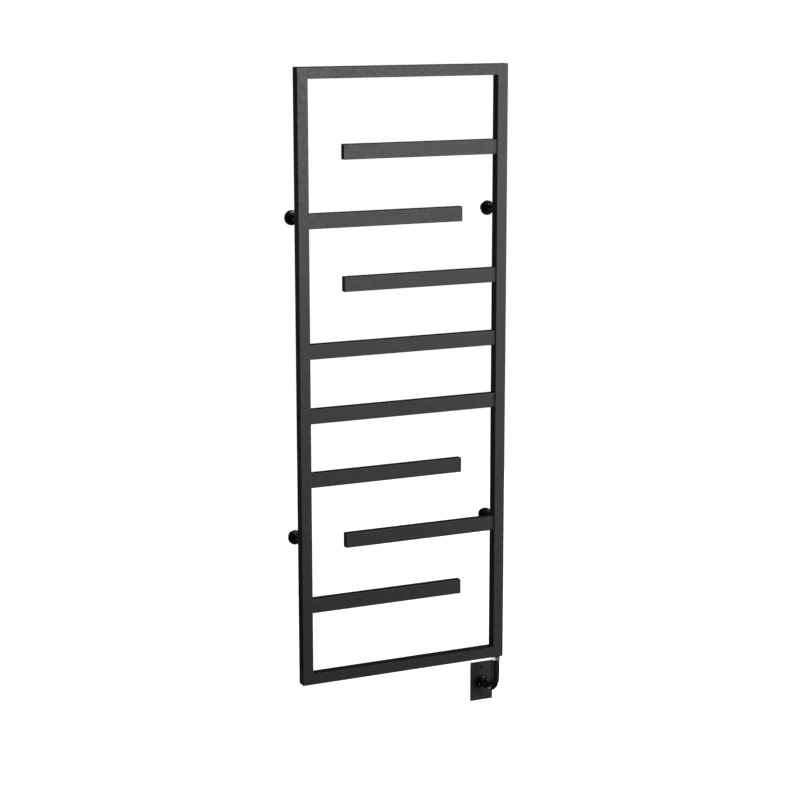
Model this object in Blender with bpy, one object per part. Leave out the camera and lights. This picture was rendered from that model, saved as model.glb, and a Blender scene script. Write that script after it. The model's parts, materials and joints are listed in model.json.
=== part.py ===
"""Wall-hung electric towel warmer rack: a frame of square tube, eight flat bars, four wall
brackets, and a cartridge heater whose lead runs through an elbow to a wall outlet plate.

Metres, +Z up. The wall is the plane Y = 0 and the room is on the -Y side. The origin lies on the
wall, midway between the four brackets.
"""

from math import cos, pi, radians, sin

import bmesh
import bpy
from mathutils import Matrix, Vector

MM = 0.001
GAP = 0.3 * MM                  # between pieces that touch on the real object

# Frame
WIDTH = 600 * MM
HEIGHT = 1640 * MM
TUBE = 30 * MM                  # side of the square tube
TUBE_WALL = 2 * MM
TUBE_RADIUS = 1.5 * MM          # outer corner radius of every tube
FRAME_FRONT = 104 * MM          # from the wall to the front faces
FOOT = 14 * MM                  # solid block welded into the lower end of each stile
STILE_X = WIDTH / 2 - TUBE / 2
INNER_X = WIDTH / 2 - TUBE
FRAME_Y = -(FRAME_FRONT - TUBE / 2)
FRAME_BACK = -(FRAME_FRONT - TUBE)
FRAME_FOOT = -HEIGHT / 2

# Bars
BAR_HEIGHT = 40 * MM
BAR_DEPTH = 20 * MM
BAR_WALL = 1.6 * MM
BAR_PITCH = 172 * MM
BAR_DROP = 3 * MM               # the second bar from either end hangs this much low
SHORT_BAR_STOP = 130 * MM       # from the far outer edge of the frame to a short bar's free end
CAP_PLATE = 2 * MM
CAP_SPIGOT = 9 * MM
FLOW_HOLE = 6 * MM              # radius of the holes that join the tubes inside
BAR_SIDES = ("right", "left", "right", "both", "both", "left", "right", "left")

# Wall brackets
BRACKET_ROWS = {"upper": 2.5 * BAR_PITCH, "lower": -2.5 * BAR_PITCH}
BASE_RADIUS = 14 * MM
BASE_THICKNESS = 4 * MM
PEG_RADIUS = 5 * MM
PEG_END = 52 * MM
BASE_HOLE_OFFSET = 9.5 * MM
POST_RADIUS = 9 * MM
POST_BORE = 5.3 * MM
POST_BORE_END = 58 * MM
SPIGOT_RADIUS = 4 * MM
SPIGOT_LENGTH = 6.5 * MM
INSERT_RADIUS = 7 * MM
INSERT_LENGTH = 8 * MM
ROSETTE_RADIUS = 20 * MM
ROSETTE_BACK = 15 * MM          # from the wall to the rosette as it stands
ROSETTE_THICKNESS = 8 * MM
ROSETTE_BORE = 9.35 * MM
GRUB_Y = -33 * MM
GRUB_RADIUS = 2.5 * MM

# Heater and its lead
SHEATH_RADIUS = 5 * MM
SHEATH_TOP = -200 * MM
SEAL_THICKNESS = 1 * MM
HEX_FLAT = 13.5 * MM            # from the axis to a flat
HEX_HEIGHT = 10 * MM
THREAD_RADIUS = 10.4 * MM
NECK_RADIUS = 9.8 * MM
NECK_BORE = 6.5 * MM
NECK_END = 22 * MM              # below the hexagon
CUTOUT_RADIUS = 4.2 * MM
CUTOUT_LENGTH = 14 * MM
CONDUIT_RADIUS = 12.25 * MM
CONDUIT_BORE = 10.25 * MM
BEND_RADIUS = 45 * MM
LEAD_RADIUS = 3.5 * MM
OUTLET_DROP = 103 * MM          # from the foot of the frame to the centre of the outlet plate
OUTLET_Z = FRAME_FOOT - OUTLET_DROP
HEX_TOP = FRAME_FOOT - SEAL_THICKNESS - 2 * GAP
HEX_FOOT = HEX_TOP - HEX_HEIGHT

# Outlet plate
PLATE_WIDTH = 69.85 * MM
PLATE_HEIGHT = 114.3 * MM
PLATE_THICKNESS = 3.5 * MM
PLATE_SKIN = 1.5 * MM
PLATE_BEVEL = 2 * MM
PLATE_HOLE = 12.8 * MM
PLATE_SCREW_SPACING = 83.34 * MM
FLANGE_RADIUS = 18.4 * MM
FLANGE_THICKNESS = 2.6 * MM

# Drain plug of the left stile
PLUG_RADIUS = 10.4 * MM
PLUG_HEAD_RADIUS = 12.2 * MM
PLUG_HEAD = 1.8 * MM
PLUG_LENGTH = 11 * MM
PLUG_SOCKET = 5 * MM            # from the axis to a flat of the hexagon socket

X_AXIS = Matrix.Rotation(radians(90), 4, "Y")      # takes +Z to +X
OUT_OF_WALL = Matrix.Rotation(radians(90), 4, "X")  # takes +Z to -Y


def clear_scene():
    for obj in list(bpy.data.objects):
        bpy.data.objects.remove(obj, do_unlink=True)


def make_material(name, colour, roughness, metallic):
    material = bpy.data.materials.new(name)
    material.use_nodes = True
    shader = material.node_tree.nodes["Principled BSDF"]
    shader.inputs["Base Color"].default_value = (*colour, 1.0)
    shader.inputs["Roughness"].default_value = roughness
    shader.inputs["Metallic"].default_value = metallic
    return material


def make_object(name, bm, material, matrix=None, smooth=False):
    """Turns a bmesh into a named object, placed by its own matrix."""
    bmesh.ops.recalc_face_normals(bm, faces=bm.faces)
    mesh = bpy.data.meshes.new(name)
    bm.to_mesh(mesh)
    bm.free()
    if smooth:
        mesh.shade_smooth()
        mesh.set_sharp_from_angle(angle=radians(35))
    obj = bpy.data.objects.new(name, mesh)
    bpy.context.scene.collection.objects.link(obj)
    if material:
        obj.data.materials.append(material)
    if matrix:
        obj.matrix_world = matrix
    return obj


def cut(obj, cutters):
    """Subtracts each cutter, which stays in the scene as a hidden helper."""
    for number, cutter in enumerate(cutters):
        cutter.hide_render = True
        cutter.display_type = "WIRE"
        modifier = obj.modifiers.new(f"cut_{number}", "BOOLEAN")
        modifier.operation = "DIFFERENCE"
        modifier.solver = "EXACT"
        modifier.object = cutter


def join_on(obj, other):
    other.hide_render = True
    other.display_type = "WIRE"
    modifier = obj.modifiers.new("join", "BOOLEAN")
    modifier.operation = "UNION"
    modifier.solver = "EXACT"
    modifier.object = other


def rounded_outline(width, depth, radius, steps=2):
    """Corner points of a rectangle whose corners are arcs, centred on the origin."""
    points = []
    for quarter in range(4):
        angle = quarter * pi / 2
        side_x = 1 if quarter in (0, 3) else -1
        side_y = 1 if quarter in (0, 1) else -1
        centre = Vector((side_x * (width / 2 - radius), side_y * (depth / 2 - radius)))
        for step in range(steps + 1):
            turn = angle + step * (pi / 2) / steps
            points.append(centre + radius * Vector((cos(turn), sin(turn))))
    return points


def prism(outline, low, high):
    """A bmesh of the outline in XY, extruded along Z from low to high."""
    bm = bmesh.new()
    face = bm.faces.new([bm.verts.new((point[0], point[1], low)) for point in outline])
    grown = bmesh.ops.extrude_face_region(bm, geom=[face])
    moved = [item for item in grown["geom"] if isinstance(item, bmesh.types.BMVert)]
    bmesh.ops.translate(bm, verts=moved, vec=(0, 0, high - low))
    return bm


def circle(radius, count, turn=0.0):
    return [
        (radius * cos(turn + 2 * pi * i / count), radius * sin(turn + 2 * pi * i / count))
        for i in range(count)
    ]


def hexagon(to_flat):
    return circle(to_flat / cos(pi / 6), 6)


def turned(profile, segments, closed=False):
    """Spins (radius, height) points about Z. A closed profile makes a ring."""
    bm = bmesh.new()
    verts = [bm.verts.new((radius, 0, height)) for radius, height in profile]
    edges = [bm.edges.new(pair) for pair in zip(verts, verts[1:])]
    if closed:
        edges.append(bm.edges.new((verts[-1], verts[0])))
    bmesh.ops.spin(
        bm, geom=verts + edges, cent=(0, 0, 0), axis=(0, 0, 1), dvec=(0, 0, 0),
        angle=2 * pi, steps=segments, use_merge=True, use_duplicate=False,
    )
    bmesh.ops.remove_doubles(bm, verts=bm.verts, dist=1e-7)
    return bm


def cylinder_cutter(name, radius, low, high, matrix, segments=12):
    return make_object(name, prism(circle(radius, segments), low, high), None, matrix)


def cone_cutter(name, mouth, throat, depth, matrix, segments=16):
    """A countersink: mouth radius at Z = 0, throat radius at -depth, with a long shank."""
    over = 1 * MM
    profile = [
        (0, over), (mouth, over), (mouth, 0),
        (throat, -depth), (throat, -20 * MM), (0, -20 * MM),
    ]
    return make_object(name, turned(profile, segments), None, matrix)


def pipe(path, outer, bore, segments):
    """A swept round pipe along a path in the YZ plane; a bore of 0 makes it solid."""
    bm = bmesh.new()
    side = Vector((1, 0, 0))
    shells = []
    for radius in (outer, bore):
        if radius == 0:
            continue
        rings = []
        for index, point in enumerate(path):
            ahead = path[min(index + 1, len(path) - 1)] - path[max(index - 1, 0)]
            up = side.cross(ahead.normalized())
            rings.append([
                bm.verts.new(point + radius * (cos(a) * side + sin(a) * up))
                for a in (2 * pi * i / segments for i in range(segments))
            ])
        for near, far in zip(rings, rings[1:]):
            for i in range(segments):
                j = (i + 1) % segments
                bm.faces.new((near[i], near[j], far[j], far[i]))
        shells.append(rings)
    for end in (0, -1):
        if bore == 0:
            bm.faces.new(shells[0][end])
            continue
        for i in range(segments):
            j = (i + 1) % segments
            outside = shells[0][end]
            inside = shells[1][end]
            bm.faces.new((outside[i], outside[j], inside[j], inside[i]))
    return bm


def at(x, y, z):
    return Matrix.Translation((x, y, z))


def bar_height(number):
    """Height of a bar's centre: an even pitch, apart from the second bar from either end."""
    height = (4.5 - number) * BAR_PITCH
    return height - BAR_DROP if number in (2, 7) else height


def make_stile(side, material):
    sign = -1 if side == "left" else 1
    place = at(sign * STILE_X, FRAME_Y, 0)
    outline = rounded_outline(TUBE, TUBE, TUBE_RADIUS)
    stile = make_object(f"{side}_stile", prism(outline, -HEIGHT / 2, HEIGHT / 2), material, place)
    inside = TUBE - 2 * TUBE_WALL
    cavity = prism(
        rounded_outline(inside, inside, 0.5 * MM, 1), -HEIGHT / 2 + FOOT, HEIGHT / 2 - TUBE_WALL
    )
    cutters = [make_object(f"{side}_cavity", cavity, None, place)]
    joined = [bar_height(n) for n, where in enumerate(BAR_SIDES, 1) if where in (side, "both")]
    rail_flow = HEIGHT / 2 - TUBE + FLOW_HOLE + 3 * MM
    for number, height in enumerate(joined + [rail_flow, -rail_flow]):
        inward = at(sign * (INNER_X + TUBE_WALL / 2), FRAME_Y, height) @ X_AXIS
        cutters.append(
            cylinder_cutter(f"{side}_flow_{number}", FLOW_HOLE, -2 * MM, 2 * MM, inward)
        )
    for row, height in BRACKET_ROWS.items():
        back = at(sign * STILE_X, FRAME_BACK, height) @ OUT_OF_WALL
        cutters.append(
            cylinder_cutter(f"{side}_{row}_seat", INSERT_RADIUS + GAP, -3 * MM, 4 * MM, back, 20)
        )
    foot = at(sign * STILE_X, FRAME_Y, FRAME_FOOT)
    thread = THREAD_RADIUS + GAP
    cutters.append(
        cylinder_cutter(f"{side}_foot_hole", thread, -2 * MM, FOOT + 2 * MM, foot, 24)
    )
    if side == "left":
        mouth = PLUG_HEAD_RADIUS + GAP
        cutters.append(
            cylinder_cutter("plug_recess", mouth, -2 * MM, PLUG_HEAD + 1.6 * MM, foot, 24)
        )
    cut(stile, cutters)


def make_bar(name, low, high, size, wall, place, material):
    """A rectangular tube along X, open at both ends. Its size is (depth, height)."""
    depth, height = size
    turn = place @ X_AXIS
    tube = make_object(
        name, prism(rounded_outline(height, depth, TUBE_RADIUS), low, high), material, turn
    )
    inner = rounded_outline(height - 2 * wall, depth - 2 * wall, 0.5 * MM, 1)
    bore = make_object(f"{name}_bore", prism(inner, low - 5 * MM, high + 5 * MM), None, turn)
    cut(tube, [bore])


def make_cap(name, free_end, sign, place, material):
    """End cap of a short bar: a plate flush with the tube, on a spigot inside it."""
    plate = rounded_outline(BAR_HEIGHT, BAR_DEPTH, TUBE_RADIUS)
    spigot = rounded_outline(
        BAR_HEIGHT - 2 * BAR_WALL - 2 * GAP, BAR_DEPTH - 2 * BAR_WALL - 2 * GAP, 0.5 * MM, 1
    )
    turn = place @ at(free_end, 0, 0) @ Matrix.Rotation(radians(90) * -sign, 4, "Y")
    cap = make_object(name, prism(plate, 0, CAP_PLATE), material, turn)
    stub = prism(spigot, CAP_PLATE / 2, CAP_PLATE + CAP_SPIGOT)
    join_on(cap, make_object(f"{name}_spigot", stub, None, turn))


def make_frame(material):
    for side in ("left", "right"):
        make_stile(side, material)
    half = INNER_X - GAP
    for name, sign in (("top_rail", 1), ("bottom_rail", -1)):
        place = at(0, FRAME_Y, sign * (HEIGHT / 2 - TUBE / 2))
        make_bar(name, -half, half, (TUBE, TUBE), TUBE_WALL, place, material)


def make_bars(material, cap_material):
    half = INNER_X - GAP
    stop = WIDTH / 2 - SHORT_BAR_STOP
    for number, side in enumerate(BAR_SIDES, 1):
        place = at(0, FRAME_Y, bar_height(number))
        low = -half
        high = half
        if side == "right":
            low = -stop + CAP_PLATE + GAP
        if side == "left":
            high = stop - CAP_PLATE - GAP
        make_bar(f"bar_{number}", low, high, (BAR_DEPTH, BAR_HEIGHT), BAR_WALL, place, material)
        if side != "both":
            sign = -1 if side == "right" else 1
            make_cap(f"bar_{number}_cap", sign * stop, sign, place, cap_material)


def make_wall_base(name, place, material):
    """Puck against the wall, with the peg that carries the rack and two screw holes."""
    profile = [
        (0, 0), (BASE_RADIUS, 0), (BASE_RADIUS, BASE_THICKNESS - 0.5 * MM),
        (BASE_RADIUS - 0.5 * MM, BASE_THICKNESS), (PEG_RADIUS, BASE_THICKNESS),
        (PEG_RADIUS, PEG_END - 1 * MM), (PEG_RADIUS - 1 * MM, PEG_END), (0, PEG_END),
    ]
    base = make_object(name, turned(profile, 24), material, place, smooth=True)
    cutters = []
    for sign in (-1, 1):
        mouth = place @ at(0, sign * BASE_HOLE_OFFSET, BASE_THICKNESS)
        cutters.append(
            cone_cutter(f"{name}_hole_{sign}", 3.8 * MM, 2.2 * MM, 1.6 * MM, mouth, 12)
        )
    cut(base, cutters)


def make_post(name, place, material):
    """Stand-off tube from the wall base to the stile, bored for the peg, with a threaded spigot."""
    back = BASE_THICKNESS + GAP
    front = -FRAME_BACK - GAP
    profile = [
        (POST_BORE, back), (POST_RADIUS, back), (POST_RADIUS, front), (SPIGOT_RADIUS, front),
        (SPIGOT_RADIUS, front + SPIGOT_LENGTH), (0, front + SPIGOT_LENGTH),
        (0, POST_BORE_END), (POST_BORE, POST_BORE_END), (POST_BORE, back),
    ]
    post = make_object(name, turned(profile, 24), material, place, smooth=True)
    down = at(place.translation.x, GRUB_Y, place.translation.z)
    hole = cylinder_cutter(
        f"{name}_grub_hole", GRUB_RADIUS + GAP, -POST_RADIUS - 2 * MM, -POST_BORE / 2, down, 16
    )
    cut(post, [hole])


def make_insert(name, place, material):
    """Blind threaded insert in the back wall of a stile."""
    mouth = -FRAME_BACK + GAP
    bore = SPIGOT_RADIUS + GAP
    end = mouth + INSERT_LENGTH
    profile = [
        (bore, mouth), (INSERT_RADIUS, mouth), (INSERT_RADIUS, end), (0, end),
        (0, end - 0.9 * MM), (bore, end - 0.9 * MM), (bore, mouth),
    ]
    make_object(name, turned(profile, 20), material, place, smooth=True)


def make_rosette(name, place, material):
    """Cover disc on the post: a recess behind takes the wall base, a groove holds the O-ring."""
    back = ROSETTE_BACK
    front = back + ROSETTE_THICKNESS
    recess = BASE_RADIUS + 0.5 * MM
    floor = back + BASE_THICKNESS + GAP
    edge = 2.5 * MM
    groove = (floor + 0.7 * MM, front - 0.8 * MM)
    rounded = [
        (ROSETTE_RADIUS - edge + edge * cos(a), front - edge + edge * sin(a))
        for a in (0, pi / 6, pi / 3, pi / 2)
    ]
    profile = [
        (recess, back), (ROSETTE_RADIUS, back), *rounded, (ROSETTE_BORE, front),
        (ROSETTE_BORE, groove[1]), (ROSETTE_BORE + 1.9 * MM, groove[1]),
        (ROSETTE_BORE + 1.9 * MM, groove[0]), (ROSETTE_BORE, groove[0]),
        (ROSETTE_BORE, floor), (recess, floor),
    ]
    make_object(name, turned(profile, 32, closed=True), material, place, smooth=True)
    return (groove[0] + groove[1]) / 2


def make_ring(name, radius, section, height, place, material):
    """An O-ring: a hexagonal section spun round."""
    profile = [
        (radius + section * cos(i * pi / 3), height + section * sin(i * pi / 3)) for i in range(6)
    ]
    make_object(name, turned(profile, 24, closed=True), material, place, smooth=True)


def make_grub_screw(name, place, length, radius, material):
    """Set screw along +Z from its point, with a hexagon socket in its head."""
    profile = [(0, 0), (radius * 0.55, 0), (radius, radius * 0.45), (radius, length), (0, length)]
    screw = make_object(name, turned(profile, 16), material, place, smooth=True)
    socket = prism(hexagon(radius * 0.5), length * 0.5, length + 1 * MM)
    cut(screw, [make_object(f"{name}_socket", socket, None, place)])


def make_brackets(paint, steel, rubber):
    for row, height in BRACKET_ROWS.items():
        for side, sign in (("left", -1), ("right", 1)):
            name = f"{row}_{side}"
            place = at(sign * STILE_X, 0, height) @ OUT_OF_WALL
            make_wall_base(f"wall_base_{name}", place, steel)
            make_post(f"post_{name}", place, paint)
            make_insert(f"insert_{name}", place, steel)
            middle = make_rosette(f"rosette_{name}", place, paint)
            radius = POST_RADIUS + 1.15 * MM
            make_ring(f"rosette_ring_{name}", radius, 0.8 * MM, middle, place, rubber)
            down = at(sign * STILE_X, GRUB_Y, height - PEG_RADIUS - GAP)
            down = down @ Matrix.Rotation(pi, 4, "X")
            make_grub_screw(f"grub_screw_{name}", down, 3.5 * MM, GRUB_RADIUS, steel)


def conduit_path(top, end, steps):
    """Straight down under the stile, round the bend, then straight back to the wall."""
    path = [Vector((0, FRAME_Y, top))]
    centre = Vector((0, FRAME_Y + BEND_RADIUS, OUTLET_Z + BEND_RADIUS))
    for step in range(steps + 1):
        turn = step * (pi / 2) / steps
        path.append(centre + BEND_RADIUS * Vector((0, -cos(turn), -sin(turn))))
    path.append(Vector((0, end, OUTLET_Z)))
    return path


def make_heater(chrome, steel, rubber, plastic, cable):
    axis = at(STILE_X, FRAME_Y, 0)
    profile = [
        (0, HEX_FOOT), (SHEATH_RADIUS, HEX_FOOT), (SHEATH_RADIUS, SHEATH_TOP - 3 * MM),
        (SHEATH_RADIUS - 2 * MM, SHEATH_TOP - 0.6 * MM), (0, SHEATH_TOP),
    ]
    make_object("heater_sheath", turned(profile, 16), steel, axis, smooth=True)

    hole = SHEATH_RADIUS + GAP
    middle = (HEX_TOP + HEX_FOOT) / 2
    neck_foot = HEX_FOOT - NECK_END
    profile = [
        (hole, FRAME_FOOT + FOOT - 1 * MM), (THREAD_RADIUS, FRAME_FOOT + FOOT - 1 * MM),
        (THREAD_RADIUS, middle), (NECK_RADIUS, middle), (NECK_RADIUS, neck_foot),
        (NECK_BORE, neck_foot), (NECK_BORE, HEX_FOOT - 1 * MM), (hole, HEX_FOOT - 1 * MM),
    ]
    plug = make_object("heater_plug", turned(profile, 24, closed=True), chrome, axis)
    head = prism(hexagon(HEX_FLAT), HEX_FOOT, HEX_TOP)
    hex_head = make_object("heater_hexagon", head, None, axis)
    drill = prism(circle(NECK_RADIUS - 1 * MM, 24), HEX_FOOT - 2 * MM, HEX_TOP + 2 * MM)
    cut(hex_head, [make_object("heater_hexagon_hole", drill, None, axis)])
    join_on(plug, hex_head)

    seal = [
        (THREAD_RADIUS + GAP, FRAME_FOOT - GAP), (HEX_FLAT - 1 * MM, FRAME_FOOT - GAP),
        (HEX_FLAT - 1 * MM, FRAME_FOOT - GAP - SEAL_THICKNESS),
        (THREAD_RADIUS + GAP, FRAME_FOOT - GAP - SEAL_THICKNESS),
    ]
    make_object("heater_seal", turned(seal, 24, closed=True), rubber, axis, smooth=True)

    top = HEX_FOOT - 3 * MM
    foot = top - CUTOUT_LENGTH
    profile = [
        (0, foot), (CUTOUT_RADIUS - 1 * MM, foot), (CUTOUT_RADIUS, foot + 1 * MM),
        (CUTOUT_RADIUS, top), (0, top),
    ]
    make_object("thermal_cutout", turned(profile, 16), plastic, axis, smooth=True)
    side = at(STILE_X, 0, 0)
    lead = pipe(conduit_path(foot - GAP, -1 * MM, 8), LEAD_RADIUS, 0, 12)
    make_object("heater_lead", lead, cable, side, smooth=True)


def make_conduit(paint, steel):
    side = at(STILE_X, 0, 0)
    elbow = pipe(conduit_path(HEX_FOOT - GAP, -0.5 * MM, 10), CONDUIT_RADIUS, CONDUIT_BORE, 24)
    conduit = make_object("conduit_elbow", elbow, paint, side, smooth=True)
    screw_z = HEX_FOOT - NECK_END / 2
    back = at(STILE_X, FRAME_Y + NECK_RADIUS + GAP, screw_z) @ Matrix.Rotation(radians(-90), 4, "X")
    hole = cylinder_cutter("conduit_screw_hole", 1.5 * MM + GAP, -2 * MM, 6 * MM, back, 12)
    cut(conduit, [hole])
    make_grub_screw("conduit_screw", back, 2 * MM, 1.5 * MM, steel)


def make_outlet(paint, steel):
    place = at(STILE_X, 0, OUTLET_Z) @ OUT_OF_WALL
    low = prism(rounded_outline(PLATE_WIDTH, PLATE_HEIGHT, 2 * MM), 0, PLATE_THICKNESS)
    rim = [
        edge for edge in low.edges
        if all(vert.co.z > PLATE_THICKNESS / 2 for vert in edge.verts)
    ]
    bmesh.ops.bevel(low, geom=rim, offset=PLATE_BEVEL, segments=2, profile=0.6, affect="EDGES")
    plate = make_object("outlet_plate", low, paint, place)
    rim_width = 2 * PLATE_BEVEL + 1 * MM
    inside = rounded_outline(PLATE_WIDTH - rim_width, PLATE_HEIGHT - rim_width, 1 * MM)
    pocket = prism(inside, -1 * MM, PLATE_THICKNESS - PLATE_SKIN)
    cutters = [
        make_object("outlet_pocket", pocket, None, place),
        cylinder_cutter("outlet_hole", PLATE_HOLE, -1 * MM, 5 * MM, place, 32),
    ]
    for sign, name in ((1, "upper"), (-1, "lower")):
        seat = place @ at(0, sign * PLATE_SCREW_SPACING / 2, PLATE_THICKNESS)
        cutters.append(cone_cutter(f"outlet_seat_{name}", 3.6 * MM, 2.1 * MM, 1.2 * MM, seat))
        head = seat @ at(0, 0, GAP)
        profile = [
            (0, 0.6 * MM), (2 * MM, 0.45 * MM), (3.4 * MM, 0), (1.8 * MM, -1.3 * MM),
            (1.8 * MM, -PLATE_THICKNESS), (0, -PLATE_THICKNESS),
        ]
        screw = make_object(f"outlet_screw_{name}", turned(profile, 16), steel, head, smooth=True)
        slot = prism(rounded_outline(8 * MM, 0.8 * MM, 0.1 * MM, 1), -0.2 * MM, 2 * MM)
        cut(screw, [make_object(f"outlet_slot_{name}", slot, None, head)])
    cut(plate, cutters)

    back = PLATE_THICKNESS + GAP
    front = back + FLANGE_THICKNESS
    bore = CONDUIT_RADIUS + GAP
    profile = [
        (bore, back), (FLANGE_RADIUS, back), (FLANGE_RADIUS, front - 1.2 * MM),
        (FLANGE_RADIUS - 0.4 * MM, front - 0.4 * MM), (FLANGE_RADIUS - 1.4 * MM, front),
        (bore, front),
    ]
    make_object("outlet_flange", turned(profile, 32, closed=True), paint, place, smooth=True)


def make_drain_plug(steel, rubber):
    """Flush plug in the foot of the left stile, with its seal under the head."""
    foot = at(-STILE_X, FRAME_Y, FRAME_FOOT)
    profile = [
        (0, 0.2 * MM), (PLUG_HEAD_RADIUS, 0.2 * MM), (PLUG_HEAD_RADIUS, PLUG_HEAD),
        (PLUG_RADIUS, PLUG_HEAD), (PLUG_RADIUS, PLUG_LENGTH), (0, PLUG_LENGTH),
    ]
    plug = make_object("drain_plug", turned(profile, 24), steel, foot, smooth=True)
    socket = prism(hexagon(PLUG_SOCKET), -1 * MM, 6 * MM)
    cut(plug, [make_object("drain_plug_socket", socket, None, foot)])
    low = PLUG_HEAD + GAP
    ring = [
        (PLUG_RADIUS + GAP, low), (PLUG_HEAD_RADIUS, low),
        (PLUG_HEAD_RADIUS, low + 1 * MM), (PLUG_RADIUS + GAP, low + 1 * MM),
    ]
    make_object("drain_plug_seal", turned(ring, 24, closed=True), rubber, foot, smooth=True)


def main():
    clear_scene()
    paint = make_material("black_powder_coat", (0.024, 0.024, 0.025), 0.5, 0.0)
    fittings = make_material("black_fittings", (0.018, 0.018, 0.019), 0.35, 0.0)
    chrome = make_material("nickel_plate", (0.78, 0.77, 0.75), 0.18, 1.0)
    steel = make_material("steel", (0.55, 0.55, 0.56), 0.35, 1.0)
    rubber = make_material("seal_rubber", (0.02, 0.02, 0.02), 0.8, 0.0)
    plastic = make_material("cutout_plastic", (0.75, 0.74, 0.7), 0.45, 0.0)
    cable = make_material("lead_jacket", (0.03, 0.03, 0.03), 0.6, 0.0)
    make_frame(paint)
    make_bars(paint, paint)
    make_brackets(fittings, steel, rubber)
    make_heater(chrome, steel, rubber, plastic, cable)
    make_conduit(fittings, steel)
    make_outlet(paint, fittings)
    make_drain_plug(steel, rubber)


main()
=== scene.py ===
"""The look of the towel warmer rack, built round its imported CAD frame.

Metres, +Z up. The wall is the plane Y = 0 and the room is on the -Y side.
"""

import json
from math import cos, pi, radians, sin, sqrt

import bmesh
import bpy
from mathutils import Matrix, Vector


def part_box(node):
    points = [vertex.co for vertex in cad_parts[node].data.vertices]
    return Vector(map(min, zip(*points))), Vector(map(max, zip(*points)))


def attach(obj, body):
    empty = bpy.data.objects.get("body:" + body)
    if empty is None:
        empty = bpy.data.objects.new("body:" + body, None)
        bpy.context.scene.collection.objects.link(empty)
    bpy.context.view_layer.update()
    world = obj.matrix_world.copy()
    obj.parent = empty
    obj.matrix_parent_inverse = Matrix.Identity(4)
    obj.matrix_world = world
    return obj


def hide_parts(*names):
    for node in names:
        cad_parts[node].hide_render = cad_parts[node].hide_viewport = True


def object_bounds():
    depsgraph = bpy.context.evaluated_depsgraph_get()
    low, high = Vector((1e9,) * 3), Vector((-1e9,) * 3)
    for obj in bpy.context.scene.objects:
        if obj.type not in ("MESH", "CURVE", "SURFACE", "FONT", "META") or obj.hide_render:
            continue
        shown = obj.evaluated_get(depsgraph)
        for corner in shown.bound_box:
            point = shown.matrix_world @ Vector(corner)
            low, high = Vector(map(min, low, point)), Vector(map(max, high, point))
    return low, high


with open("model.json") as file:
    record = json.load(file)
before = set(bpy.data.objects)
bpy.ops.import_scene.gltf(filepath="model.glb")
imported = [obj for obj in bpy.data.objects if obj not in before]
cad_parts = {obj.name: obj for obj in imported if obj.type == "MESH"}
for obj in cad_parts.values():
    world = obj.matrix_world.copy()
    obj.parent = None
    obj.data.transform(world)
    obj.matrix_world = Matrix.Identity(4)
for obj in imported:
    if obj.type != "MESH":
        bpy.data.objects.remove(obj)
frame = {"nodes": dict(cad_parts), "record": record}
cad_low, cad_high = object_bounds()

MM = 0.001
SCENE = bpy.context.scene
BRACKETS = [f"{row}_{side}" for row in ("upper", "lower") for side in ("left", "right")]
SHORT_BARS = {1: "right", 2: "left", 3: "right", 6: "left", 7: "right", 8: "left"}
BARS = range(1, 9)

GAP = 0.3 * MM                  # between CAD pieces that touch on the real object

# Frame and bars
TUBE_RADIUS = 1.5 * MM          # corner radius of every tube
CORNER_RADIUS = 0.9 * MM        # at the four outer corners of the frame
WELD = 1.6 * MM                 # fillet where a bar meets a stile
BAR_END_RADIUS = 0.7 * MM
FOOT = 14 * MM                  # solid block in the lower end of each stile
FOOT_BORE = 10.7 * MM           # radius of the threaded hole through that block
PLUG_RECESS = 3.4 * MM          # depth of the drain plug's seat

# Wall brackets
BASE_THICKNESS = 4 * MM
BASE_HOLE_OFFSET = 9.5 * MM
HOLE_MOUTH = 3.8 * MM
HOLE_RADIUS = 2.2 * MM
PEG_RADIUS = 5 * MM
POST_BORE = 5.3 * MM
POST_BORE_END = 58 * MM         # from the wall
POST_FRONT = 73.7 * MM          # from the wall
SPIGOT_RADIUS = 4 * MM
GRUB_BORE = 2.8 * MM
DISC_BORE = 9.35 * MM
DISC_RECESS = 14.5 * MM         # radius of the hollow that takes the wall base
DISC_RIM = 3.4 * MM             # radius of the rounded rim
DISC_STEP = 1.0 * MM            # height of the step round the post
RING_GROOVE = 1.9 * MM          # depth of the O-ring's groove

# Heater outlet
HEX_FLAT = 13.5 * MM            # from the axis to a flat
THREAD_RADIUS = 10.4 * MM
NECK_RADIUS = 9.8 * MM
NECK_BORE = 6.5 * MM
SHEATH_BORE = 5.3 * MM
BEND_RADIUS = 45 * MM
CONDUIT_WALL = 2 * MM
CONDUIT_SCREW_BORE = 1.8 * MM
PLATE_EDGE = 2 * MM             # width of the plate's rounded edge
PLATE_SKIN = 1.5 * MM
PLATE_HOLE = 12.8 * MM
FLANGE_BORE = 12.55 * MM
SCREW_DROP = 0.6 * MM           # how deep the plate's screws sit in their seats

# Drain plug
PLUG_HEAD = 1.6 * MM
PLUG_SOCKET = 5 * MM            # from the axis to a flat of the hexagon socket

# Camera
CAMERA_PLACE = (-2.1649, -4.8565, 1.0176)
CAMERA_YAW = radians(24.34)
CAMERA_PITCH = radians(11.224)
CAMERA_ROLL = radians(-0.059)
PICTURE_WIDTH = 800
CAMERA_FOCUS = 2000.0           # in the same pixels as the picture's width
CAMERA_SHIFT = -0.02

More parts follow.
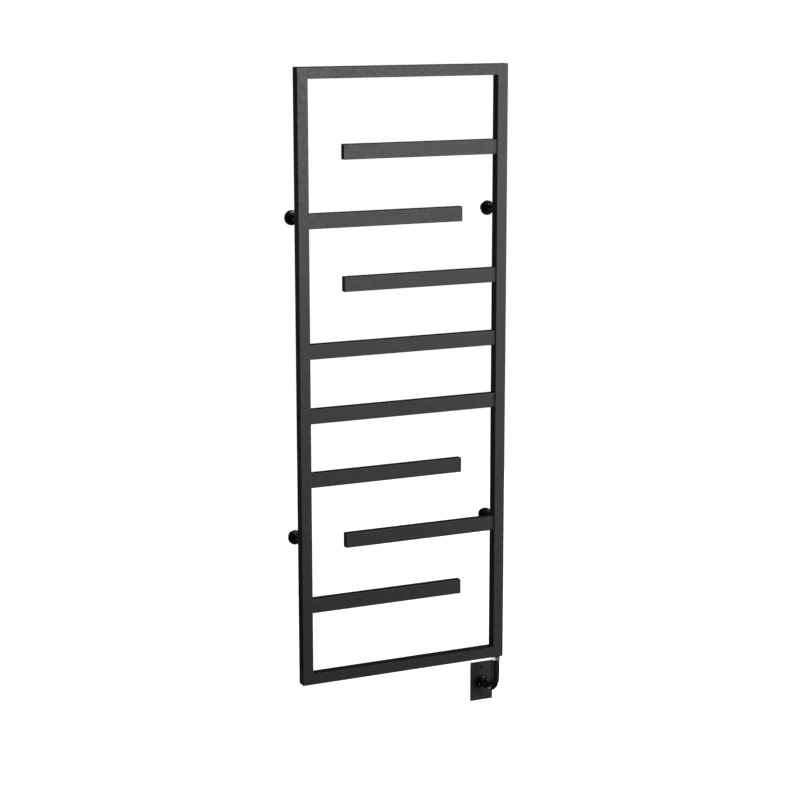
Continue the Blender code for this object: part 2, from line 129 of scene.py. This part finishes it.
FLOOR_DROP = 0.3                # from the rack's lowest point to the floor
FILL = 0.014                    # strength of the surround's light on the rack
LAMPS = (
    # name, place, target, (width, height), watts
    ("key", (0.9, -3.6, 0.9), (0.0, 0.0, 1.0), (1.3, 1.0), 79),
    ("right_strip", (3.3, -2.1, 0.3), (0.2, 0.0, 0.3), (0.6, 2.0), 60),
    ("left", (-3.4, -0.8, 0.5), (0.0, 0.0, 0.3), (0.6, 2.0), 10),
    ("behind_left", (-1.5, 2.9, -0.2), (0.0, 0.0, 0.1), (1.4, 2.2), 1.3),
    ("overhead", (0.0, -0.6, 3.2), (0.0, -0.1, 0.0), (1.6, 1.0), 2.5),
    ("card", (0.95, -1.6, -1.15), (0.285, -0.1, -0.83), (0.35, 0.25), 0.25),
    ("low_right", (1.15, -1.0, -1.2), (0.285, -0.1, -0.88), (0.22, 0.5), 0.5),
    ("low_left", (-0.33, 0.01, -1.06), (0.285, -0.1, -0.88), (0.13, 0.26), 0.26),
    ("under", (0.03, 0.4, -1.55), (0.285, -0.08, -0.93), (0.35, 0.35), 0.45),
    ("behind", (3.0, 2.4, -1.6), (0.0, 0.0, -0.1), (2.4, 2.0), 160),
)


# ---------------------------------------------------------------- materials

def node(tree, kind, inputs=(), **settings):
    made = tree.nodes.new(kind)
    for key, value in settings.items():
        setattr(made, key, value)
    for key, value in dict(inputs).items():
        made.inputs[key].default_value = value
    return made


def noise(tree, coords, scale, detail=3.0, roughness=0.55, stretch=(1.0, 1.0, 1.0)):
    """Noise whose scale is in features per metre, in the object's own coordinates."""
    mapping = node(tree, "ShaderNodeMapping", {"Scale": stretch})
    texture = node(
        tree, "ShaderNodeTexNoise", {"Scale": scale, "Detail": detail, "Roughness": roughness}
    )
    tree.links.new(coords.outputs["Object"], mapping.inputs["Vector"])
    tree.links.new(mapping.outputs["Vector"], texture.inputs["Vector"])
    return texture.outputs["Fac"]


def ramp(tree, source, low, high, start=0.3, end=0.7):
    """Maps a texture to the range low to high."""
    made = node(
        tree, "ShaderNodeMapRange",
        {"From Min": start, "From Max": end, "To Min": low, "To Max": high},
    )
    tree.links.new(source, made.inputs["Value"])
    return made.outputs["Result"]


def blend_colours(tree, factor, dark, light):
    mix = node(tree, "ShaderNodeMix", data_type="RGBA")
    mix.inputs["A"].default_value = (*dark, 1.0)
    mix.inputs["B"].default_value = (*light, 1.0)
    tree.links.new(factor, mix.inputs["Factor"])
    return mix.outputs["Result"]


def finish(name, dark, light, rough, metallic=0.0, specular=0.5, coat=0.0, mottle=45.0,
           bumps=(), stretch=(1.0, 1.0, 1.0)):
    """A procedural finish: mottled colour, uneven gloss, and bumps of (scale, strength, height)."""
    material = bpy.data.materials.new(name)
    material.use_nodes = True
    tree = material.node_tree
    shader = tree.nodes["Principled BSDF"]
    shader.inputs["Metallic"].default_value = metallic
    shader.inputs["Specular IOR Level"].default_value = specular
    shader.inputs["Coat Weight"].default_value = coat
    shader.inputs["Coat Roughness"].default_value = 0.25
    coords = node(tree, "ShaderNodeTexCoord")
    broad = noise(tree, coords, mottle, 4.0, 0.6, stretch)
    colour = blend_colours(tree, ramp(tree, broad, 0.0, 1.0), dark, light)
    tree.links.new(colour, shader.inputs["Base Color"])
    uneven = noise(tree, coords, mottle * 3.1, 3.0, 0.6, stretch)
    tree.links.new(ramp(tree, uneven, *rough), shader.inputs["Roughness"])
    previous = None
    for scale, strength, height in bumps:
        bump = node(tree, "ShaderNodeBump", {"Strength": strength, "Distance": height})
        tree.links.new(noise(tree, coords, scale, 2.0, 0.5, stretch), bump.inputs["Height"])
        if previous:
            tree.links.new(previous, bump.inputs["Normal"])
        previous = bump.outputs["Normal"]
    if previous:
        tree.links.new(previous, shader.inputs["Normal"])
    return material


POWDER = finish(
    "powder_coat", (0.021, 0.021, 0.0215), (0.029, 0.029, 0.029), (0.44, 0.56), mottle=38.0,
    bumps=((240.0, 0.10, 0.4 * MM), (1500.0, 0.30, 0.12 * MM)),
)
FITTING = finish(
    "satin_black", (0.010, 0.010, 0.0105), (0.014, 0.014, 0.0145), (0.18, 0.26), mottle=60.0,
    bumps=((900.0, 0.12, 0.08 * MM),),
)
# Black screws whose colour is darker than the other black fittings: a black finish plus painted
# shade of the recessed seat round each head.
SCREW_WITH_PAINTED_SHADE = finish(
    "black_screw_painted_shade", (0.004, 0.004, 0.004), (0.007, 0.007, 0.007), (0.5, 0.62), specular=0.2,
    mottle=160.0, bumps=((1300.0, 0.2, 0.04 * MM),),
)
NICKEL = finish(
    "nickel", (0.72, 0.71, 0.69), (0.84, 0.83, 0.81), (0.14, 0.26), metallic=1.0, mottle=220.0,
    bumps=((900.0, 0.15, 0.05 * MM),), stretch=(1.0, 1.0, 6.0),
)
ZINC = finish(
    "zinc_steel", (0.42, 0.42, 0.43), (0.56, 0.56, 0.57), (0.28, 0.42), metallic=1.0, mottle=180.0,
    bumps=((700.0, 0.2, 0.06 * MM),),
)
RUBBER = finish(
    "seal_rubber", (0.012, 0.012, 0.012), (0.020, 0.020, 0.020), (0.65, 0.8), mottle=160.0,
    bumps=((1200.0, 0.3, 0.08 * MM),),
)
PLASTIC = finish(
    "cutout_plastic", (0.66, 0.65, 0.60), (0.74, 0.73, 0.68), (0.4, 0.52), mottle=120.0,
    bumps=((1100.0, 0.2, 0.05 * MM),),
)
JACKET = finish(
    "lead_jacket", (0.020, 0.020, 0.020), (0.032, 0.032, 0.032), (0.5, 0.62), mottle=140.0,
    bumps=((800.0, 0.25, 0.08 * MM),),
)
FINISHES = {
    "black_powder_coat": POWDER, "black_fittings": FITTING, "nickel_plate": NICKEL, "steel": ZINC,
    "seal_rubber": RUBBER, "cutout_plastic": PLASTIC, "lead_jacket": JACKET,
}


# ---------------------------------------------------------------- mesh tools

def rounded(width, height, radius, steps=6):
    """Corner points of a rectangle with arcs at its corners, centred on the origin."""
    points = []
    for quarter, (sx, sy) in enumerate(((1, 1), (-1, 1), (-1, -1), (1, -1))):
        for step in range(steps + 1):
            turn = quarter * pi / 2 + step * (pi / 2) / steps
            points.append((
                sx * (width / 2 - radius) + radius * cos(turn),
                sy * (height / 2 - radius) + radius * sin(turn),
            ))
    return points


def soften(points, radius, steps=3, closed=False):
    """Rounds each corner of a line of points by about the radius."""
    count = len(points)
    made = []
    for i, point in enumerate(points):
        here = Vector(point)
        if not closed and i in (0, count - 1):
            made.append(tuple(here))
            continue
        before = Vector(points[i - 1]) - here
        after = Vector(points[(i + 1) % count]) - here
        start = here + before.normalized() * min(radius, before.length * 0.45)
        end = here + after.normalized() * min(radius, after.length * 0.45)
        for step in range(steps + 1):
            t = step / steps
            made.append(tuple((1 - t) ** 2 * start + 2 * t * (1 - t) * here + t * t * end))
    return made


def loft(rings, closed=False):
    """Joins rings of points to a skin. An open skin gets a face at either end."""
    bm = bmesh.new()
    rows = [[bm.verts.new(point) for point in ring] for ring in rings]
    following = rows[1:] + rows[:1] if closed else rows[1:]
    for near, far in zip(rows, following):
        for i in range(len(near)):
            j = (i + 1) % len(near)
            bm.faces.new((near[i], near[j], far[j], far[i]))
    if not closed:
        bm.faces.new(rows[0])
        bm.faces.new(rows[-1])
    return bm


def turned(profile, segments=64, closed=False):
    """Spins (radius, height) points about Z. A closed profile makes a ring."""
    bm = bmesh.new()
    verts = [bm.verts.new((radius, 0, height)) for radius, height in profile]
    edges = [bm.edges.new(pair) for pair in zip(verts, verts[1:])]
    if closed:
        edges.append(bm.edges.new((verts[-1], verts[0])))
    bmesh.ops.spin(
        bm, geom=verts + edges, cent=(0, 0, 0), axis=(0, 0, 1), dvec=(0, 0, 0),
        angle=2 * pi, steps=segments, use_merge=True, use_duplicate=False,
    )
    bmesh.ops.remove_doubles(bm, verts=bm.verts, dist=1e-7)
    return bm


def prism(outline, low, high):
    return loft([[(x, y, z) for x, y in outline] for z in (low, high)])


def circle(radius, count=48):
    angles = [2 * pi * i / count for i in range(count)]
    return [(radius * cos(a), radius * sin(a)) for a in angles]


def hexagon(to_flat):
    return circle(to_flat / cos(pi / 6), 6)


def to_object(name, bm, material=None, place=None):
    """Makes an object whose place is in its vertices."""
    bmesh.ops.recalc_face_normals(bm, faces=bm.faces)
    if place:
        bmesh.ops.transform(bm, matrix=place, verts=bm.verts)
    mesh = bpy.data.meshes.new(name)
    bm.to_mesh(mesh)
    bm.free()
    obj = bpy.data.objects.new(name, mesh)
    SCENE.collection.objects.link(obj)
    if material:
        mesh.materials.append(material)
    return obj


def combine(obj, others, operation="DIFFERENCE"):
    """Cuts, joins or intersects the object with the others, which are then gone."""
    for other in others:
        modifier = obj.modifiers.new(operation.lower(), "BOOLEAN")
        modifier.operation = operation
        modifier.solver = "EXACT"
        modifier.object = other
    graph = bpy.context.evaluated_depsgraph_get()
    mesh = bpy.data.meshes.new_from_object(obj.evaluated_get(graph))
    obj.modifiers.clear()
    old = obj.data
    obj.data = mesh
    bpy.data.meshes.remove(old)
    mesh.name = obj.name
    for other in others:
        bpy.data.objects.remove(other, do_unlink=True)


def keep(obj, body, slot, *nodes, angle=38):
    """Shades a finished piece, gives it its body and hides the CAD nodes it stands for. The slot is
    not used.
    """
    obj.data.shade_smooth()
    obj.data.set_sharp_from_angle(angle=radians(angle))
    even = obj.modifiers.new("even_normals", "WEIGHTED_NORMAL")
    even.keep_sharp = True
    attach(obj, body)
    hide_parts(*nodes)
    return obj


def at(x, y, z):
    return Matrix.Translation((x, y, z))


OUT_OF_WALL = Matrix.Rotation(radians(90), 4, "X")      # takes +Z to -Y


# ---------------------------------------------------------------- frame and bars

def make_frame():
    """The four welded tubes as one skin, its corners mitred, ground and painted over."""
    low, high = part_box("left_stile")
    side = high.x - low.x
    y = (low.y + high.y) / 2
    half_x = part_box("right_stile")[1].x - side / 2
    half_z = high.z - side / 2
    section = rounded(side, side, TUBE_RADIUS)
    rings = []
    for sx, sz, start in ((1, 1, 0), (-1, 1, 1), (-1, -1, 2), (1, -1, 3)):
        for step in range(5):
            turn = (start + step / 4) * pi / 2
            ring = []
            for u, v in section:
                radius = CORNER_RADIUS * max(0.0, u) / (side / 2)
                ring.append((
                    sx * (half_x + u - radius) + radius * cos(turn),
                    y + v,
                    sz * (half_z + u - radius) + radius * sin(turn),
                ))
            rings.append(ring)
    bm = loft(rings, closed=True)
    bmesh.ops.remove_doubles(bm, verts=bm.verts, dist=1e-6)
    obj = to_object("welded_frame", bm, POWDER)
    foot = low.z
    left = at(-half_x, y, foot)
    right = at(half_x, y, foot)
    plug_low, plug_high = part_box("drain_plug")
    recess = (plug_high.x - plug_low.x) / 2 + GAP
    mouth = [
        (0, -1 * MM), (recess + 1.6 * MM, -1 * MM), (recess, 0.6 * MM), (recess, PLUG_RECESS),
        (0, PLUG_RECESS),
    ]
    combine(obj, [
        to_object("recess", turned(soften(mouth, 0.2 * MM)), None, left),
        to_object("plug_bore", prism(circle(FOOT_BORE), 3 * MM, FOOT), None, left),
        to_object("heater_bore", prism(circle(FOOT_BORE), -1 * MM, FOOT), None, right),
    ])
    keep(obj, "rack", "black_powder_coat", "left_stile", "right_stile", "top_rail", "bottom_rail")


def bar_rings(start, end, centre, size, welded):
    """Rings of one end of a bar, from the end inwards: a weld fillet or a rounded edge."""
    inward = 1 if end > start else -1
    depth, height = size
    made = []
    if welded:
        steps = [(-0.5 * MM, WELD)]
        for step in range(7):
            gap = WELD * (1 - cos(step * pi / 12))
            steps.append((gap, WELD - sqrt(max(0.0, WELD ** 2 - (WELD - gap) ** 2))))
    else:
        steps = [
            (BAR_END_RADIUS * (1 - sin(a)), -BAR_END_RADIUS * (1 - cos(a)))
            for a in (pi / 2, pi / 3, pi / 6, 0)
        ]
    for along, growth in steps:
        outline = rounded(depth + 2 * growth, height + 2 * growth, TUBE_RADIUS + growth)
        made.append([
            (start + inward * along, centre[0] + u, centre[1] + v) for u, v in outline
        ])
    return made


def make_bars():
    """Each bar with its end cap as one skin: a weld at a stile, a soft edge at a free end."""
    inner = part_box("left_stile")[1].x
    for number in BARS:
        low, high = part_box(f"bar_{number}")
        nodes = [f"bar_{number}"]
        left, right = inner, -inner
        if number in SHORT_BARS:
            nodes.append(f"bar_{number}_cap")
            cap_low, cap_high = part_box(nodes[1])
            if SHORT_BARS[number] == "right":
                left = cap_low.x
            else:
                right = cap_high.x
        centre = ((low.y + high.y) / 2, (low.z + high.z) / 2)
        size = (high.y - low.y, high.z - low.z)
        rings = bar_rings(left, right, centre, size, left == inner)
        rings += reversed(bar_rings(right, left, centre, size, right == -inner))
        obj = to_object(f"welded_bar_{number}", loft(rings), POWDER)
        keep(obj, "rack", "black_powder_coat", *nodes)


# ---------------------------------------------------------------- brackets

def make_brackets():
    for name in BRACKETS:
        low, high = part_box(f"wall_base_{name}")
        place = at((low.x + high.x) / 2, 0, (low.z + high.z) / 2) @ OUT_OF_WALL
        make_wall_base(name, place, (high.x - low.x) / 2, -low.y)
        make_post(name, place)
        make_rosette(name, place)


def make_wall_base(name, place, radius, peg_end):
    """Puck against the wall with its peg and two countersunk holes."""
    profile = [
        (0, 0), (radius, 0), (radius, BASE_THICKNESS), (PEG_RADIUS, BASE_THICKNESS),
        (PEG_RADIUS, peg_end), (0, peg_end),
    ]
    base = to_object(f"base_{name}", turned(soften(profile, 0.45 * MM)), ZINC, place)
    holes = []
    for sign in (-1, 1):
        mouth = place @ at(0, sign * BASE_HOLE_OFFSET, BASE_THICKNESS)
        shape = [
            (0, 1 * MM), (HOLE_MOUTH, 1 * MM), (HOLE_MOUTH, 0), (HOLE_RADIUS, -1.6 * MM),
            (HOLE_RADIUS, -8 * MM), (0, -8 * MM),
        ]
        holes.append(to_object(f"hole_{sign}", turned(shape, 32), None, mouth))
    combine(base, holes)
    keep(base, "wall_side", "steel", f"wall_base_{name}")


def make_post(name, place):
    """Stand-off tube bored for the peg, with a spigot into the stile and a grub screw's hole."""
    low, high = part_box(f"post_{name}")
    radius = (high.x - low.x) / 2
    back = -high.y
    spigot_end = -low.y
    profile = [
        (POST_BORE, back), (radius, back), (radius, POST_FRONT), (SPIGOT_RADIUS, POST_FRONT),
        (SPIGOT_RADIUS, spigot_end), (0, spigot_end), (0, POST_BORE_END),
        (POST_BORE, POST_BORE_END), (POST_BORE, back),
    ]
    line = soften(profile[1:8], 0.4 * MM)
    post = to_object(
        f"standoff_{name}", turned([profile[0]] + line + [profile[0]]), FITTING, place
    )
    grub_low, grub_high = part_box(f"grub_screw_{name}")
    middle = place.translation
    drill = to_object(
        "grub_bore", prism(circle(GRUB_BORE, 32), -12 * MM, -3 * MM), None,
        at(middle.x, (grub_low.y + grub_high.y) / 2, middle.z),
    )
    combine(post, [drill])
    keep(post, "rack", "black_fittings", f"post_{name}")


def make_rosette(name, place):
    """A cover disc: rounded rim, then a shallow step up to the hub round the post."""
    low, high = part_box(f"rosette_{name}")
    radius = (high.x - low.x) / 2
    back = -high.y
    front = -low.y
    floor = back + BASE_THICKNESS + GAP
    edge = front - DISC_STEP - DISC_RIM
    angles = [pi / 2 * i / 8 for i in range(8, -1, -1)]
    rim = [(radius - DISC_RIM + DISC_RIM * sin(a), edge + DISC_RIM * cos(a)) for a in angles]
    profile = soften([
        (DISC_RECESS, back), (radius - 0.5 * MM, back), (radius, back + 0.5 * MM)], 0.2 * MM, 2)
    profile += rim
    profile += soften([
        rim[-1], (14.6 * MM, front - 0.9 * MM), (13.6 * MM, front), (DISC_BORE, front),
        (DISC_BORE, front - 0.8 * MM)], 0.35 * MM)[1:]
    profile += [
        (DISC_BORE + RING_GROOVE, front - 0.8 * MM), (DISC_BORE + RING_GROOVE, floor + 0.7 * MM),
        (DISC_BORE, floor + 0.7 * MM), (DISC_BORE, floor), (DISC_RECESS, floor),
    ]
    obj = to_object(f"disc_{name}", turned(profile, 96, closed=True), FITTING, place)
    keep(obj, f"rosette_{name}", "black_fittings", f"rosette_{name}")


# ---------------------------------------------------------------- heater outlet

def pipe_rings(path, radius, count):
    """Rings round a path in the YZ plane."""
    side = Vector((1, 0, 0))
    rings = []
    for index, point in enumerate(path):
        ahead = path[min(index + 1, len(path) - 1)] - path[max(index - 1, 0)]
        up = side.cross(ahead.normalized())
        rings.append([tuple(point + u * side + v * up) for u, v in circle(radius, count)])
    return rings


def make_heater():
    """The heater's hexagon, chamfered at both ends, on its threaded stem and neck."""
    low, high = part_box("heater_plug")
    x = (low.x + high.x) / 2
    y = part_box("heater_sheath")
    y = (y[0].y + y[1].y) / 2
    axis = at(x, y, 0)
    seal_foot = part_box("heater_seal")[0].z
    head_top = seal_foot - GAP
    head_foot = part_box("conduit_elbow")[1].z + GAP
    head = to_object("hex_head", prism(hexagon(HEX_FLAT), head_foot, head_top), NICKEL, axis)
    inner = HEX_FLAT - 0.6 * MM
    outer = HEX_FLAT / cos(pi / 6) + 0.2 * MM
    lathe = [
        (0, head_foot), (inner, head_foot), (outer, head_foot + 1.6 * MM),
        (outer, head_top - 1.6 * MM), (inner, head_top), (0, head_top),
    ]
    combine(head, [to_object("chamfer", turned(lathe, 96), NICKEL, axis)], "INTERSECT")
    stem = [
        (SHEATH_BORE, high.z), (THREAD_RADIUS - 0.7 * MM, high.z),
        (THREAD_RADIUS, high.z - 0.7 * MM), (THREAD_RADIUS, head_top + 1 * MM),
        (NECK_RADIUS + 0.1 * MM, head_top - 2 * MM), (NECK_RADIUS, low.z + 0.6 * MM),
        (NECK_RADIUS - 0.6 * MM, low.z), (NECK_BORE, low.z), (NECK_BORE, head_foot - 1 * MM),
        (SHEATH_BORE, head_foot - 1 * MM),
    ]
    drill = prism(circle(9 * MM, 64), head_foot - 1 * MM, head_top + 1 * MM)
    combine(head, [to_object("head_bore", drill, None, axis)])
    combine(head, [to_object("stem", turned(stem, 64, closed=True), NICKEL, axis)], "UNION")
    head.name = "hex_plug"
    keep(head, "rack", "nickel_plate", "heater_plug", angle=25)


def make_elbow():
    """The conduit from the hexagon down, round the bend and back through the wall plate."""
    low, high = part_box("conduit_elbow")
    outer = (high.x - low.x) / 2
    x = (low.x + high.x) / 2
    y = low.y + outer
    foot = low.z + outer
    centre = Vector((x, y + BEND_RADIUS, foot + BEND_RADIUS))
    path = [Vector((x, y, high.z)), Vector((x, y, high.z - 0.5 * MM))]
    for step in range(33):
        turn = pi / 64 * step
        path.append(centre + BEND_RADIUS * Vector((0, -cos(turn), -sin(turn))))
    path.append(Vector((x, high.y, foot)))
    outside = pipe_rings(path, outer, 64)
    outside[0] = pipe_rings(path, outer - 0.4 * MM, 64)[0]
    inside = pipe_rings(path, outer - CONDUIT_WALL, 64)
    elbow = to_object("outlet_elbow", loft(outside + inside[::-1], closed=True), FITTING)
    screw_low, screw_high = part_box("conduit_screw")
    drill = to_object(
        "screw_bore", prism(circle(CONDUIT_SCREW_BORE, 24), 8 * MM, 16 * MM), None,
        at(x, y, (screw_low.z + screw_high.z) / 2) @ OUT_OF_WALL.inverted(),
    )
    combine(elbow, [drill])
    keep(elbow, "rack", "black_fittings", "conduit_elbow")


def make_outlet():
    low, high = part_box("outlet_plate")
    place = at((low.x + high.x) / 2, 0, (low.z + high.z) / 2) @ OUT_OF_WALL
    thick = -low.y
    plate = make_plate_blank(high.x - low.x, high.z - low.z, thick, place)
    outline = rounded(high.x - low.x - 5 * MM, high.z - low.z - 5 * MM, 1 * MM, 3)
    pocket = prism(outline, -1 * MM, thick - PLATE_SKIN)
    cutters = [
        to_object("pocket", pocket, None, place),
        to_object("tube_hole", prism(circle(PLATE_HOLE, 64), -1 * MM, 6 * MM), None, place),
    ]
    for which in ("upper", "lower"):
        screw_low, screw_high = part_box(f"outlet_screw_{which}")
        middle = (screw_low.z + screw_high.z) / 2
        seat = at(place.translation.x, -thick, middle) @ OUT_OF_WALL
        shape = [
            (0, 2 * MM), (4.9 * MM, 2 * MM), (4.1 * MM, -0.2 * MM), (3.7 * MM, -0.7 * MM),
            (2.1 * MM, -1.9 * MM), (2.1 * MM, -5 * MM), (0, -5 * MM),
        ]
        cutters.append(to_object(f"seat_{which}", turned(shape, 48), None, seat))
        make_plate_screw(which, seat, thick)
    combine(plate, cutters)
    keep(plate, "wall_side", "black_powder_coat", "outlet_plate")
    make_flange(place)


def make_plate_blank(width, height, thick, place):
    """The plate before its cuts: a flat block whose front edge is a quarter round."""
    levels = [(0, 0), (thick - PLATE_EDGE * 0.9, 0)]
    for step in range(1, 9):
        turn = pi / 16 * step
        level = thick - 0.9 * PLATE_EDGE * (1 - sin(turn))
        levels.append((level, PLATE_EDGE * (1 - cos(turn))))
    rings = []
    for level, inset in levels:
        outline = rounded(width - 2 * inset, height - 2 * inset, max(2.4 * MM - inset, 0.6 * MM))
        rings.append([(u, v, level) for u, v in outline])
    return to_object("wall_plate", loft(rings), POWDER, place)


def make_plate_screw(which, seat, thick):
    """Domed countersunk screw with a straight slot. It ends just short of the wall plane."""
    end = -thick + SCREW_DROP + 0.1 * MM
    profile = [
        (0, 0.60 * MM), (1.2 * MM, 0.54 * MM), (2.3 * MM, 0.36 * MM), (3.1 * MM, 0.1 * MM),
        (3.35 * MM, -0.1 * MM), (1.9 * MM, -1.3 * MM), (1.8 * MM, end), (0, end),
    ]
    sunk = seat @ at(0, 0, -SCREW_DROP)
    # The screw's finish is black with painted shade of its seat added to it.
    screw = to_object(f"plate_screw_{which}", turned(profile, 48), SCREW_WITH_PAINTED_SHADE, sunk)
    slot = prism(rounded(8 * MM, 0.9 * MM, 0.05 * MM, 1), -0.8 * MM, 2 * MM)
    combine(screw, [to_object("slot", slot, None, seat)])
    keep(screw, "wall_side", "black_fittings", f"outlet_screw_{which}", angle=30)


def make_flange(place):
    """The ring that covers the edge of the plate's hole."""
    low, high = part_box("outlet_flange")
    radius = (high.x - low.x) / 2
    back = -high.y
    front = -low.y
    profile = soften([
        (FLANGE_BORE, back), (radius, back), (radius, front - 0.5 * MM),
        (radius - 0.5 * MM, front), (FLANGE_BORE, front)], 0.25 * MM, 4, closed=True)
    flange = to_object("tube_flange", turned(profile, 96, closed=True), FITTING, place)
    keep(flange, "wall_side", "black_fittings", "outlet_flange")


def make_drain_plug():
    """Plug in the foot of the left stile, with a hexagon socket in its head."""
    low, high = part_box("drain_plug")
    place = at((low.x + high.x) / 2, (low.y + high.y) / 2, low.z)
    radius = (high.x - low.x) / 2
    length = high.z - low.z
    profile = [
        (0, 0), (radius, 0), (radius, PLUG_HEAD), (THREAD_RADIUS, PLUG_HEAD),
        (THREAD_RADIUS, length), (0, length),
    ]
    plug = to_object("foot_plug", turned(soften(profile, 0.4 * MM)), ZINC, place)
    socket = to_object("socket", prism(hexagon(PLUG_SOCKET), -1 * MM, 5.8 * MM), None, place)
    combine(plug, [socket])
    keep(plug, "rack", "steel", "drain_plug")


# ---------------------------------------------------------------- stage

def make_camera():
    camera = bpy.data.cameras.new("camera")
    camera.sensor_width = 36.0
    camera.lens = CAMERA_FOCUS * camera.sensor_width / PICTURE_WIDTH
    camera.shift_y = CAMERA_SHIFT
    camera.clip_end = 200.0
    obj = bpy.data.objects.new("camera", camera)
    SCENE.collection.objects.link(obj)
    turn = (
        Matrix.Rotation(-CAMERA_YAW, 4, "Z")
        @ Matrix.Rotation(pi / 2 - CAMERA_PITCH, 4, "X")
        @ Matrix.Rotation(CAMERA_ROLL, 4, "Z")
    )
    obj.matrix_world = at(*CAMERA_PLACE) @ turn
    SCENE.camera = obj


def area_light(name, place, target, size, power):
    light = bpy.data.lights.new(name, "AREA")
    light.shape = "RECTANGLE"
    light.size, light.size_y = size
    light.energy = power
    obj = bpy.data.objects.new(name, light)
    SCENE.collection.objects.link(obj)
    aim = Vector(target) - Vector(place)
    obj.matrix_world = at(*place) @ aim.to_track_quat("-Z", "Y").to_matrix().to_4x4()
    obj.visible_camera = False


def make_stage():
    """A white floor that gives no light, and a surround that is white only to the camera."""
    top = cad_low.z - FLOOR_DROP
    floor = to_object("floor", prism(rounded(80, 80, 1.0), top - 0.1, top))
    material = bpy.data.materials.new("white_floor")
    material.use_nodes = True
    shader = material.node_tree.nodes["Principled BSDF"]
    shader.inputs["Base Color"].default_value = (0.9, 0.9, 0.9, 1.0)
    shader.inputs["Roughness"].default_value = 0.8
    shader.inputs["Emission Color"].default_value = (1.0, 1.0, 1.0, 1.0)
    shader.inputs["Emission Strength"].default_value = 1.0
    floor.data.materials.append(material)
    floor.visible_diffuse = False
    floor.visible_glossy = False
    floor.visible_shadow = False

    world = bpy.data.worlds.new("surround")
    SCENE.world = world
    world.use_nodes = True
    tree = world.node_tree
    tree.nodes.clear()
    out = node(tree, "ShaderNodeOutputWorld")
    mix = node(tree, "ShaderNodeMixShader")
    path = node(tree, "ShaderNodeLightPath")
    fill = node(tree, "ShaderNodeBackground", {"Color": (1, 1, 1, 1), "Strength": FILL})
    white = node(tree, "ShaderNodeBackground", {"Color": (1, 1, 1, 1), "Strength": 1.0})
    tree.links.new(path.outputs["Is Camera Ray"], mix.inputs["Fac"])
    tree.links.new(fill.outputs["Background"], mix.inputs[1])
    tree.links.new(white.outputs["Background"], mix.inputs[2])
    tree.links.new(mix.outputs["Shader"], out.inputs["Surface"])
    SCENE.view_settings.view_transform = "Standard"


def finish_nodes():
    """Gives every CAD node the finish of its slot, also those that a piece replaces."""
    slots = {part["node"]: part["material_slot"] for part in frame["record"]["subparts"]}
    for name, obj in frame["nodes"].items():
        obj.data.materials.clear()
        obj.data.materials.append(FINISHES[slots[name]])


def main():
    finish_nodes()
    make_camera()
    make_frame()
    make_bars()
    make_brackets()
    make_heater()
    make_elbow()
    make_outlet()
    make_drain_plug()
    make_stage()
    for lamp in LAMPS:
        area_light(*lamp)


main()
